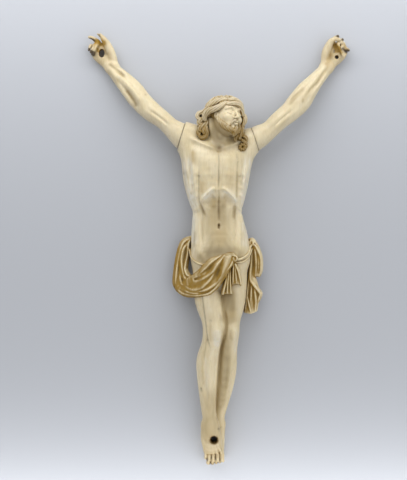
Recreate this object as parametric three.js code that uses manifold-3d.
// A carved corpus from a crucifix, lying on its back: the figure of a man with raised arms, long curled
// hair, a beard and a knotted loincloth. Body, head, legs and cloth are one carving. Each arm is a carving of
// its own, butted against the shoulder on a flat sawn face.
//
// +X is the figure's left, +Y runs up the body to the crown and +Z comes out of the chest. The origin is on
// the flat seat under the hips. Everything that the figure lies on is planed off at Z = 0.
import * as THREE from "three";
import { mergeVertices } from "three/addons/utils/BufferGeometryUtils.js";
import Module from "manifold-3d";

const wasm = await Module();
wasm.setup();

// Driving dimensions, in millimetres.
const FIGURE_LENGTH = 370; // crown of the head to the tips of the toes
const ARM_JOINT_GAP = 0.3; // the open line between a shoulder and its arm
const RIGHT_PALM_HOLE = { width: 5.8, length: 8.4 }; // worn long by its nail
const LEFT_PALM_HOLE = { width: 3.8, length: 3.8 };
const FOOT_HOLE = { width: 6.2, length: 6.2 }; // for one nail through both feet

// The pose is drawn on a figure that is 370 units long, so that each place in it is a share of the length.
const DRAWN_LENGTH = 370;
const UNIT = FIGURE_LENGTH / DRAWN_LENGTH;

const BLOCK = 3 * FIGURE_LENGTH; // a sawing or planing block reaches past the whole figure
const HOLE_SIDES = 10;

const IVORY = new THREE.MeshStandardMaterial({ color: 0xd8cbb0, roughness: 0.45, metalness: 0 });

// Solids from three.js geometry

function vector([x, y, z]) {
  return new THREE.Vector3(x, y, z).multiplyScalar(UNIT);
}

// A closed three.js geometry as a solid. Only its positions are kept, and shared corners are merged.
function solid(geometry) {
  const bare = geometry.clone();
  bare.deleteAttribute("normal");
  bare.deleteAttribute("uv");
  const merged = mergeVertices(bare, 1e-4);
  const mesh = new wasm.Mesh({
    numProp: 3,
    vertProperties: merged.attributes.position.array,
    triVerts: new Uint32Array(merged.index.array),
  });
  return new wasm.Manifold(mesh);
}

function geometryOf(form) {
  const mesh = form.getMesh();
  const geometry = new THREE.BufferGeometry();
  geometry.setAttribute("position", new THREE.BufferAttribute(new Float32Array(mesh.vertProperties), 3));
  geometry.setIndex(new THREE.BufferAttribute(new Uint32Array(mesh.triVerts), 1));
  geometry.computeVertexNormals();
  return geometry;
}

function joined(forms) {
  return forms.reduce((whole, form) => whole.add(form));
}

// How far the muscles lift the front of the skin at a place. A swell is [x, y, reach across, reach along,
// turn in degrees, height], and it falls off like a bell.
function liftAt(place, swells) {
  let lift = 0;
  for (const [x, y, across, along, turn, height] of swells) {
    const angle = THREE.MathUtils.degToRad(turn);
    const dx = place.x / UNIT - x;
    const dy = place.y / UNIT - y;
    const u = (dx * Math.cos(angle) + dy * Math.sin(angle)) / across;
    const v = (dy * Math.cos(angle) - dx * Math.sin(angle)) / along;
    lift += height * UNIT * Math.exp(-u * u - v * v);
  }
  return lift;
}

// A wave between 0 and 1 that starts at 0.
function ripple(angle) {
  return 0.5 - 0.5 * Math.cos(angle);
}

// How much larger a section with flat sides is drawn, so that its sides straddle the round it stands for.
function straddle(sides) {
  return (1 + 1 / Math.cos(Math.PI / sides)) / 2;
}

// A limb, lock or fold: a blunt-ended bar bent along a smooth line. A station is [x, y, z, half width, half
// depth], the width as seen from above and the depth along Z. Squareness over 2 flattens the section's four
// sides. Pleats run lengthwise round the section, sunk by a share of its radius.
function limb(stations, { sides, rings, squareness = 2, blunt = 0.7, pleats, swells = [] }) {
  const line = new THREE.CatmullRomCurve3(stations.map(vector));
  const sizes = stations.map(([, , , width, depth = width]) => vector([width, depth, 0]));
  const size = new THREE.CatmullRomCurve3(sizes);
  const bar = new THREE.CapsuleGeometry(1, 1, 1, sides, rings);
  const corners = bar.attributes.position;
  const front = new THREE.Vector3(0, 0, 1);
  const corner = new THREE.Vector3();
  for (let i = 0; i < corners.count; i++) {
    corner.fromBufferAttribute(corners, i);
    const share = THREE.MathUtils.clamp(corner.y + 0.5, 0, 1);
    const past = corner.y + 0.5 - share;
    const along = line.getTangent(share);
    const across = new THREE.Vector3().crossVectors(along, front).normalize();
    const outward = new THREE.Vector3().crossVectors(across, along).normalize();
    const { x: width, y: depth } = size.getPoint(share);
    const radius = Math.hypot(corner.x, corner.z);
    const squared = (value) => Math.abs(value / (radius || 1)) ** (2 / squareness);
    const flatten = (value) => Math.sign(value) * squared(value) * radius;
    const pleat = pleats ? pleats.depth * ripple(pleats.count * Math.atan2(corner.z, corner.x)) : 0;
    const reach = (1 - pleat) * straddle(sides);
    const centre = line.getPoint(share);
    const place = centre
      .clone()
      .addScaledVector(across, flatten(corner.x) * width * reach)
      .addScaledVector(outward, flatten(corner.z) * depth * reach)
      .addScaledVector(along, past * blunt * Math.min(width, depth));
    const facing = place.clone().sub(centre).normalize();
    place.addScaledVector(facing, liftAt(place, swells) * Math.max(0, facing.z));
    corners.setXYZ(i, place.x, place.y, place.z);
  }
  return solid(bar);
}

// A kneecap, heel or knot that shows as an egg.
function mass({ middle, radii }) {
  const egg = new THREE.SphereGeometry(1, 7, 5);
  egg.scale(...vector(radii));
  const { x, y, z } = vector(middle);
  egg.translate(x, y, z);
  return solid(egg);
}

// A straight hole from front to back, round or longer up the body than across.
function nailHole([x, y], { width, length }) {
  const drill = new THREE.CylinderGeometry(width / 2, width / 2, BLOCK, HOLE_SIDES);
  drill.rotateX(Math.PI / 2);
  drill.scale(1, length / width, 1);
  drill.translate(x * UNIT, y * UNIT, 0);
  return solid(drill);
}

// Everything below Z = 0, where the figure is planed flat.
function bench() {
  const block = new THREE.BoxGeometry(BLOCK, BLOCK, BLOCK);
  block.translate(0, 0, -BLOCK / 2);
  return solid(block);
}

// The trunk

const TRUNK = [
  [1, -16, 19, 20, 17],
  [1.2, 0, 19.5, 29, 20.8],
  [1.4, 12, 19.5, 29.3, 20.4],
  [0, 27, 20, 28, 16],
  [-1.6, 41, 21, 25.4, 14.5],
  [-2, 52, 21.5, 24.4, 15.5],
  [-2.4, 65, 22, 28, 18.5],
  [-2.8, 80, 21.5, 31.4, 21],
  [-2.4, 96, 21, 32.4, 22],
  [-1, 110, 20.5, 33, 19.5],
  [-0.5, 121, 20, 29, 14.5],
  [0, 130, 20, 18, 10],
];

// The relief on the front of the trunk: chest, rib arch, belly, collar bones and hip bones.
const TRUNK_SWELLS = [-1, 1].flatMap((side) => [
  [side * 18 - 1, 96, 13, 9, side * 20, 6.5],
  [side * 9 - 0.5, 67, 9, 4, side * -36, 4],
  [side * 18 - 1, 57, 9, 4.5, side * -48, 4.5],
  [side * 16, 119, 13, 3, side * 26, 4],
  [side * 24 + 1, 15, 5, 11, side * -18, 4],
]);
TRUNK_SWELLS.push([-0.5, 24, 13, 15, 0, 5.5], [-0.5, 90, 3.5, 14, 0, -3], [-0.5, 52, 4, 10, 0, 2.5]);

// The broad back muscle of one side, from the waist up to the armpit.
const RIGHT_FLANK = [
  [-20, 60, 20, 7.5, 11],
  [-26.4, 82, 19.5, 8.4, 13],
  [-29.4, 103, 20, 8.6, 13],
  [-33, 119, 21, 10, 12],
];
const LEFT_FLANK = [
  [15.5, 60, 20, 7.5, 11],
  [20.7, 82, 19.5, 8.2, 13],
  [25.4, 103, 20, 8.6, 13],
  [31, 118, 21, 10, 12],
];

// The slope from the neck to the top of each shoulder.
const RIGHT_SLOPE = [
  [-6, 130, 23, 7, 9],
  [-19, 130, 22.5, 6.5, 9],
  [-33, 132.2, 22, 7, 9.5],
];
const LEFT_SLOPE = [
  [6, 127.6, 23, 7, 9],
  [19, 125.2, 22.5, 6.5, 9],
  [32, 124.4, 22, 7, 9.5],
];

function trunk() {
  return limb(TRUNK, { sides: 20, rings: 18, squareness: 2.35, swells: TRUNK_SWELLS });
}

// A shoulder with the muscles that hold it, sawn off where the arm is fitted.
function shoulder(armStations, flank, slope, saw, side) {
  const muscles = [limb(flank, { sides: 7, rings: 3 }), limb(slope, { sides: 7, rings: 2 })];
  return joined([armLine(armStations), ...muscles]).subtract(pastTheSaw(saw, side, 0));
}

// Legs and feet

const RIGHT_LEG = [
  [-10.5, 4, 19, 15, 16],
  [-11.5, -14, 21.5, 14.8, 15],
  [-10.5, -38, 25, 13.6, 13.8],
  [-6, -57, 28, 11.5, 12],
  [-5.4, -71, 29.5, 10.9, 11.3],
  [-8, -83, 28, 9.9, 10.3],
  [-11.5, -98, 25, 11, 11],
  [-11.6, -116, 22.5, 10.2, 10.3],
  [-10.6, -143, 21, 7.8, 7.8],
  [-9, -158, 20.5, 7.1, 7],
  [-8, -168, 19.5, 8, 7.4],
];

const LEFT_LEG = [
  [13, 4, 18, 15, 16],
  [13.8, -14, 19, 14.3, 14.5],
  [13.5, -38, 21, 12.8, 13.3],
  [10.4, -58, 24, 10.8, 11.5],
  [9.9, -71, 25.5, 10.2, 10.8],
  [8.5, -86, 23, 9.7, 10],
  [7.1, -106, 19, 10.6, 10.6],
  [5.4, -124, 15.5, 9.2, 9.2],
  [1.5, -144, 11.5, 7.2, 7],
  [-1.2, -158, 9.5, 6.4, 6.8],
  [-1.8, -167, 8, 6.8, 7],
];

// Each foot from the ankle to the ball. The right foot lies on the left one.
const RIGHT_FOOT = [
  [-9, -162, 20, 8.2, 7.2],
  [-8.4, -174, 19, 10, 7.4],
  [-6.6, -186, 17.5, 10.6, 5.8],
  [-5.2, -194, 16, 10.6, 4.4],
];
const LEFT_FOOT = [
  [-1.2, -163, 8.4, 7, 7.2],
  [-2.4, -176, 7.4, 8.4, 8.2],
  [-4, -188, 6, 9.4, 7],
  [-5, -197, 5.4, 9.6, 5.4],
];

// A row of toes: the outer edge of the little one, the tip of the big one, their height, and which way the
// row runs from the little one to the big one.
const RIGHT_TOES = { outer: -15.8, tip: -201, height: 14.4, inward: 1 };
const LEFT_TOES = { outer: 5.8, tip: -205.3, height: 5, inward: -1 };

// Half widths of the toes from the little one to the big one, and how far each falls short of the big one.
const TOES = [
  { radius: 1.6, short: 5 },
  { radius: 1.7, short: 3 },
  { radius: 1.8, short: 1.4 },
  { radius: 1.9, short: 0.4 },
  { radius: 2.8, short: 0 },
];
const TOE_REACH = 8;
const TOE_SPACING = 1.1; // a toe's pitch over its width

function foot(instep, { outer, tip, height, inward }) {
  const forms = [limb(instep, { sides: 10, rings: 4, squareness: 2.4 })];
  let x = outer;
  for (const { radius, short } of TOES) {
    x += inward * radius * TOE_SPACING;
    const toe = [
      [x, tip + short + TOE_REACH, height + 1.2, radius, radius],
      [x, tip + short + radius * 0.7, height - 0.2, radius, radius * 0.95],
    ];
    forms.push(limb(toe, { sides: 6, rings: 1, blunt: 0.8 }));
    x += inward * radius * TOE_SPACING;
  }
  return joined(forms);
}

// The kneecaps, and the right heel behind the left ankle.
const LEG_BONES = [
  { middle: [-2.6, -71, 34.6], radii: [6.4, 7.6, 5.6] },
  { middle: [14.4, -69.5, 29.8], radii: [5.6, 7, 5.4] },
  { middle: [-8, -176, 8.5], radii: [9.5, 9, 9] },
];

function legs() {
  return joined([
    limb(RIGHT_LEG, { sides: 11, rings: 12 }),
    limb(LEFT_LEG, { sides: 11, rings: 12 }),
    ...LEG_BONES.map(mass),
    foot(RIGHT_FOOT, RIGHT_TOES),
    foot(LEFT_FOOT, LEFT_TOES),
  ]);
}

// Neck and head

// The head is modelled upright and facing +Z, then tipped back, turned to the figure's left and leant over.
const HEAD = { place: [6.5, 144.5, 33], tip: -20, turn: 36, lean: -12 };
const headTurn = new THREE.Matrix4()
  .makeRotationZ(THREE.MathUtils.degToRad(HEAD.lean))
  .multiply(new THREE.Matrix4().makeRotationY(THREE.MathUtils.degToRad(HEAD.turn)))
  .multiply(new THREE.Matrix4().makeRotationX(THREE.MathUtils.degToRad(HEAD.tip)));

// Where a station of the upright head lies on the figure.
function onHead([x, y, z, ...sizes]) {
  const place = new THREE.Vector3(x, y, z).applyMatrix4(headTurn);
  return [place.x + HEAD.place[0], place.y + HEAD.place[1], place.z + HEAD.place[2], ...sizes];
}

// An egg of the head. Waves run from its top to its foot, like combed locks, and swells raise its front.
function headMass({ middle, radii }, { sides, rings, waves, swells = [] }) {
  const egg = new THREE.SphereGeometry(1, sides, rings);
  const corners = egg.attributes.position;
  for (let i = 0; i < corners.count; i++) {
    const place = new THREE.Vector3().fromBufferAttribute(corners, i);
    if (waves) {
      const swing = ripple(waves.count * Math.atan2(place.z, place.x) + waves.twist * place.y);
      const inward = 1 - waves.depth * swing * Math.hypot(place.x, place.z);
      place.multiply(new THREE.Vector3(inward, 1, inward));
    }
    place.multiply(vector(radii)).add(vector(middle));
    place.z += liftAt(place, swells) * Math.max(0, corners.getZ(i));
    place.applyMatrix4(headTurn).add(vector(HEAD.place));
    corners.setXYZ(i, place.x, place.y, place.z);
  }
  return solid(egg);
}

const NECK = [
  [0, 108, 19, 20, 12],
  [0, 119, 22, 14, 12],
  [1.5, 130, 26, 11.8, 11.8],
  [4, 143, 30, 11, 11],
];

// The muscle that stands out from behind the right ear to the breastbone.
const NECK_MUSCLE = [
  [-8.5, 141, 33, 2.8, 3],
  [-7, 129, 35, 2.8, 2.8],
  [-1.5, 114, 32, 2, 2.2],
];

function neck() {
  return joined([limb(NECK, { sides: 12, rings: 4 }), limb(NECK_MUSCLE, { sides: 5, rings: 3 })]);
}

const FACE = { middle: [0, -3, 3], radii: [12.8, 18, 13.5] };

// The relief of the face: eye sockets, cheekbones, lips and chin.
const FACE_SWELLS = [-1, 1].flatMap((side) => [
  [side * 5.4, -0.6, 4, 2.6, 0, -2],
  [side * 8, -6, 3.6, 2.6, 0, 1.8],
]);
FACE_SWELLS.push([0, -9.6, 4.6, 1.8, 0, 2.2], [0, -13.6, 3.6, 1.8, 0, 1.8], [0, -17.5, 5, 3.4, 0, 2.4]);

const NOSE = [
  [0, 2, 15.4, 1.8],
  [0, -3, 18.2, 1.9],
  [0, -6, 19.2, 2.7],
];

// A short beard, from ear to ear round the jaw, and the tuft at the chin.
const BEARD = [
  [-12.4, -4, 1, 1.6],
  [-11, -12, 5.4, 3.2],
  [-6.6, -17.4, 9.6, 4],
  [0, -19, 12.4, 4.4],
  [6.6, -17.4, 9.6, 4],
  [11, -12, 5.4, 3.2],
  [12.4, -4, 1, 1.6],
];
const BEARD_TIP = [
  [0, -18, 12.6, 4.2],
  [-1.2, -23, 12.8, 3.6],
  [-1, -26.5, 12, 1.6],
];

function brow(side) {
  const ridge = [
    [side * 1.6, 1.8, 16.2, 1.5],
    [side * 6, 3.2, 15, 1.5],
    [side * 10.6, 1.2, 10.8, 1.3],
  ];
  return limb(ridge.map(onHead), { sides: 5, rings: 2 });
}

function eye(side) {
  return headMass({ middle: [side * 5.6, -1, 13.2], radii: [2.9, 2, 2.4] }, { sides: 7, rings: 4 });
}

function head() {
  return joined([
    headMass(FACE, { sides: 18, rings: 12, swells: FACE_SWELLS }),
    limb(NOSE.map(onHead), { sides: 6, rings: 3 }),
    limb(BEARD.map(onHead), { sides: 6, rings: 7 }),
    limb(BEARD_TIP.map(onHead), { sides: 6, rings: 2 }),
    brow(-1),
    brow(1),
    eye(-1),
    eye(1),
  ]);
}

const CURL_STEP = 0.95; // length of each step of a curl over the lock's thickness

// A lock of hair that waves from root to tip and ends in a curl, counted in steps of a sixth turn.
function lock({ route, thickness, swing = 1.2, waves = 1.5, curl = 0, side = 1 }) {
  const line = new THREE.CatmullRomCurve3(route.map(([x, y, z]) => new THREE.Vector3(x, y, z)));
  const steps = 5;
  const stations = [];
  for (let i = 0; i <= steps; i++) {
    const share = i / steps;
    const place = line.getPoint(share);
    const along = line.getTangent(share);
    const across = new THREE.Vector3(along.y, -along.x, 0).normalize();
    place.addScaledVector(across, swing * Math.sin(waves * 2 * Math.PI * share) * share);
    const radius = thickness * (0.62 + 0.38 * Math.sin(Math.PI * share));
    stations.push([place.x, place.y, place.z, radius, radius * 0.85]);
  }
  const heading = line.getTangent(1);
  let angle = Math.atan2(heading.y, heading.x);
  for (let i = 0; i < curl; i++) {
    angle += (side * Math.PI) / 3;
    const [x, y, z, radius] = stations.at(-1);
    const dx = CURL_STEP * thickness * Math.cos(angle);
    const dy = CURL_STEP * thickness * Math.sin(angle);
    stations.push([x + dx, y + dy, z + 0.2, radius * 0.97, radius * 0.9]);
  }
  return limb(stations, { sides: 4, rings: steps + curl });
}

const LOCKS = [
  // From the parting over the right temple, past the ear and down to the shoulder.
  { route: [[15.5, 159, 43], [5, 157.6, 46], [-4.6, 153, 43.4], [-12, 145, 39]], thickness: 3.6 },
  { route: [[4, 161, 38], [-6.4, 158, 37], [-11.6, 151.6, 35], [-18.6, 146.2, 33]], thickness: 3.8, curl: 3 },
  { route: [[-9, 149, 38], [-14, 141, 38], [-15, 135, 37], [-12.5, 131, 37]], thickness: 3.4 },
  { route: [[-12, 147, 34], [-18, 139, 33], [-19, 132, 33], [-18.5, 126, 34]], thickness: 3.8, curl: 4 },
  { route: [[-9, 148, 27], [-16, 140, 26], [-19, 133, 28], [-18, 127, 28]], thickness: 4, curl: 2 },
  // Down the left side, behind the cheek, to the shoulder.
  { route: [[15.6, 160.8, 33], [20, 153, 35], [24.4, 143, 36], [23, 134.6, 37]], thickness: 3.6, swing: 0.3 },
  { route: [[16, 140, 32], [19, 133, 36], [18, 125, 38], [20, 119, 38]], thickness: 3, curl: 4 },
  { route: [[14, 138, 27], [21, 130, 30], [23, 122, 32], [23, 117, 33]], thickness: 3.2, curl: 2, side: -1 },
  // Down the nape.
  { route: [[-1, 156, 17], [-6, 147, 14], [-8, 137, 14], [-7, 126, 13]], thickness: 4.6 },
  { route: [[8, 157, 16], [6, 147, 12], [4, 137, 12], [3, 125, 12]], thickness: 4.8 },
  { route: [[16, 155, 20], [15, 146, 16], [14, 137, 17], [13, 126, 15]], thickness: 4.6 },
];

const HAIR_CAP = { middle: [1.4, 6, -4.5], radii: [18.4, 15.4, 18.6] };

function hair() {
  const waves = { count: 12, depth: 0.12, twist: 2.5 };
  return joined([
    headMass(HAIR_CAP, { sides: 22, rings: 8, waves }),
    ...LOCKS.map(lock),
  ]);
}

// The loincloth

// The swag, from the knot across the right thigh and up the billow that stands off the hip.
const SWAG = [
  [12.5, 3.5, 40, 4.2, 3.6],
  [5, -2.5, 41.2, 8.4, 4.8],
  [-4.5, -11, 40, 12, 5.8],
  [-14, -18.5, 35.5, 12.6, 6.4],
  [-27, -25.1, 26, 11.5, 6.4],
  [-36.4, -23.2, 17, 9.5, 6.8],
  [-39.3, -12.5, 12.5, 6.2, 7.4],
  [-38, -1.5, 10.5, 5.6, 7.6],
  [-35.2, 9.5, 9.5, 5.8, 7.6],
  [-30, 20, 10, 5.4, 7],
];

// Short ends under the knot, and the folds of the end that falls past the left hip.
const HANGING_ENDS = [
  [[11.4, 0, 37.5, 3.4, 3.4], [9, -17, 37.5, 4.4, 3.8], [7.8, -31, 37, 5, 3]],
  [[14.5, 0, 40, 2.8, 3.2], [16.2, -11, 39, 3.8, 3.6], [17.4, -20, 38, 5, 3.2]],
];
const FALL = [
  [[33, 21.5, 17, 3.6, 4], [37, 13, 18.5, 5, 4.6], [37.6, 1, 18, 6.3, 4.6], [36.8, -12.4, 17, 6, 4]],
  [[32, 12, 15, 3.4, 4.4], [32.4, -12, 15, 4.4, 4.6], [34.2, -30, 16, 7.2, 4], [32.2, -50.4, 16, 7.4, 3]],
];

// The knot in front of the left thigh and the one on the left hip.
const KNOTS = [
  { middle: [13.6, 3.2, 41.5], radii: [4.6, 4, 3.8] },
  { middle: [33.4, 20, 17], radii: [4.4, 4.2, 4.6] },
];

const CORD_RADIUS = 1.2;
const CORD_RUNS = [
  [[-29.5, 15, 17], [-27.5, 5, 28], [-21, -1, 35], [-10, -4, 39.5]],
  [[14, 2, 41.5], [22, 3.4, 38.5], [29, 8.6, 30], [32, 17, 20]],
  [[14, 1, 40.5], [22, 0.6, 37.5], [29, 5, 29], [32.6, 13, 19]],
];

function loincloth() {
  const endForm = { sides: 8, rings: 3, blunt: 0.2, pleats: { count: 4, depth: 0.3 } };
  const foldForm = { sides: 10, rings: 5, blunt: 0.3, pleats: { count: 5, depth: 0.3 } };
  return joined([
    limb(SWAG, { sides: 16, rings: 11, pleats: { count: 8, depth: 0.18 } }),
    ...HANGING_ENDS.map((end) => limb(end, endForm)),
    ...FALL.map((fold) => limb(fold, foldForm)),
    ...KNOTS.map(mass),
    ...CORD_RUNS.map((run) => limb(run.map((place) => [...place, CORD_RADIUS]), { sides: 4, rings: 5 })),
  ]);
}

// Arms and hands

// From inside the shoulder to the wrist.
const RIGHT_ARM = [
  [-20, 117, 20, 14, 13],
  [-33, 124, 21.5, 13.6, 13.2],
  [-39.5, 128, 22, 11.6, 12.4],
  [-48, 134.5, 21, 9.3, 11],
  [-56, 142, 20, 9, 9.8],
  [-69, 152, 17, 10.2, 9.6],
  [-78.4, 161.6, 15.5, 10.5, 9.2],
  [-86, 171.4, 14, 10.5, 8.8],
  [-95, 181.4, 12, 9.2, 7.6],
  [-104, 191, 9.6, 7.3, 6],
  [-108.5, 197, 8.6, 7.1, 5.5],
];

const LEFT_ARM = [
  [20, 116, 20, 14, 13],
  [32.5, 121.2, 21.5, 12.2, 13],
  [40, 125.3, 22, 11.3, 12.4],
  [50, 131.7, 21, 9.2, 11],
  [60.3, 141.5, 19.5, 9.4, 9.8],
  [72.3, 151.5, 17, 10.2, 9.6],
  [81.2, 161.3, 15.5, 11.2, 9.2],
  [88, 171.3, 14, 10.3, 8.8],
  [96.4, 181.4, 12, 8.2, 7.4],
  [104.8, 191, 9.6, 6.9, 6],
  [109.3, 197, 8.6, 6.9, 5.5],
];

// Places on a hand are [along the arm, towards the thumb, forward], from the end of the wrist.
const PALM = [
  [-2, 0, 0, 7.4, 5.4],
  [6, 0.6, -3, 9.6, 6],
  [14, 0.8, -3.6, 11, 6.2],
  [21, 1.4, -3, 9.6, 5],
];

const RIGHT_HAND = {
  hole: [15, 1.2],
  digits: [
    [[4, 6, 0, 4.2], [12, 9.4, 1.5, 4], [20, 11.6, 3.5, 3.8], [30, 12, 5, 3.6]],
    [[19, 5, -2, 3.4], [27, 4.6, -0.5, 3.4], [33.5, 2.6, 1.5, 3]],
    [[19, 4, -3, 2.8], [26.6, 3.5, 1, 2.8], [27, -5.6, 4, 2.6]],
    [[19, 1, -1, 2.6], [23.4, 3, 4, 2.6], [23, -6.4, 4.6, 2.4]],
    [[16, -4, -2, 3.2], [19.6, -7.4, 3, 2.6]],
  ],
};

const LEFT_HAND = {
  hole: [13, -0.8],
  digits: [
    [[4, 6, 0, 4.2], [11, 9.4, 1.5, 4], [19, 11, 3.5, 3.6], [24, 11, 5, 3.1], [27.5, 8, 6, 2.6]],
    [[19, 6, -2, 3], [25, 8.6, 0, 2.9], [29.4, 11, 1.5, 2.4]],
    [[19, 3, -3, 3], [25, 4.6, -1, 2.9], [29.6, 6, 1.5, 2.6]],
    [[18, 1, -2, 2.8], [23.6, 5, 3.4, 2.5], [17.4, -6, 5, 2.3]],
    [[17, -3, -3, 3.4], [23, -4, 0.5, 3.2], [26.2, -5.4, 3, 2.8]],
  ],
};

// Turns a place on the hand into one on the figure.
function onHand(arm, [along, thumbward, forward, ...sizes]) {
  const [x0, y0, z0] = arm.at(-1);
  const [x1, y1] = arm.at(-3);
  const length = Math.hypot(x0 - x1, y0 - y1);
  const [ax, ay] = [(x0 - x1) / length, (y0 - y1) / length];
  const across = Math.sign(ax) * thumbward;
  return [x0 + along * ax - across * ay, y0 + along * ay + across * ax, z0 + forward, ...sizes];
}

function hand(arm, { digits }) {
  const forms = [limb(PALM.map((place) => onHand(arm, place)), { sides: 10, rings: 3, squareness: 2.4 })];
  for (const digit of digits) {
    forms.push(limb(digit.map((place) => onHand(arm, place)), { sides: 6, rings: 3 }));
  }
  return joined(forms);
}

// The sawn face between a shoulder and its arm: a place on it, and its lean in degrees.
const SAW = {
  right: { place: [-37.6, 125], lean: -17 },
  left: { place: [35.6, 122], lean: 18.5 },
};

// A block that holds everything past the sawn face, standing off it by the gap.
function pastTheSaw({ place: [x, y], lean }, side, gap) {
  const block = new THREE.BoxGeometry(BLOCK, BLOCK, BLOCK);
  block.translate(side * (BLOCK / 2 + gap), 0, 0);
  block.rotateZ(THREE.MathUtils.degToRad(lean));
  block.translate(x * UNIT, y * UNIT, 0);
  return solid(block);
}

function armLine(stations) {
  return limb(stations, { sides: 12, rings: 10 });
}

function arm(stations, handForm, palmHole, saw, side) {
  const hole = onHand(stations, [...handForm.hole, 0]);
  return joined([armLine(stations), hand(stations, handForm)])
    .intersect(pastTheSaw(saw, side, ARM_JOINT_GAP))
    .subtract(nailHole(hole, palmHole))
    .subtract(bench());
}

const FOOT_HOLE_PLACE = [-5, -177.5];

function corpus() {
  return joined([
    trunk(),
    shoulder(RIGHT_ARM, RIGHT_FLANK, RIGHT_SLOPE, SAW.right, -1),
    shoulder(LEFT_ARM, LEFT_FLANK, LEFT_SLOPE, SAW.left, 1),
    neck(),
    head(),
    hair(),
    legs(),
    loincloth(),
  ])
    .subtract(nailHole(FOOT_HOLE_PLACE, FOOT_HOLE))
    .subtract(bench());
}

function part(name, form) {
  const mesh = new THREE.Mesh(geometryOf(form), IVORY);
  mesh.name = name;
  return mesh;
}

const figure = new THREE.Group();
figure.add(part("corpus", corpus()));
figure.add(part("right_arm", arm(RIGHT_ARM, RIGHT_HAND, RIGHT_PALM_HOLE, SAW.right, -1)));
figure.add(part("left_arm", arm(LEFT_ARM, LEFT_HAND, LEFT_PALM_HOLE, SAW.left, 1)));

export default figure;
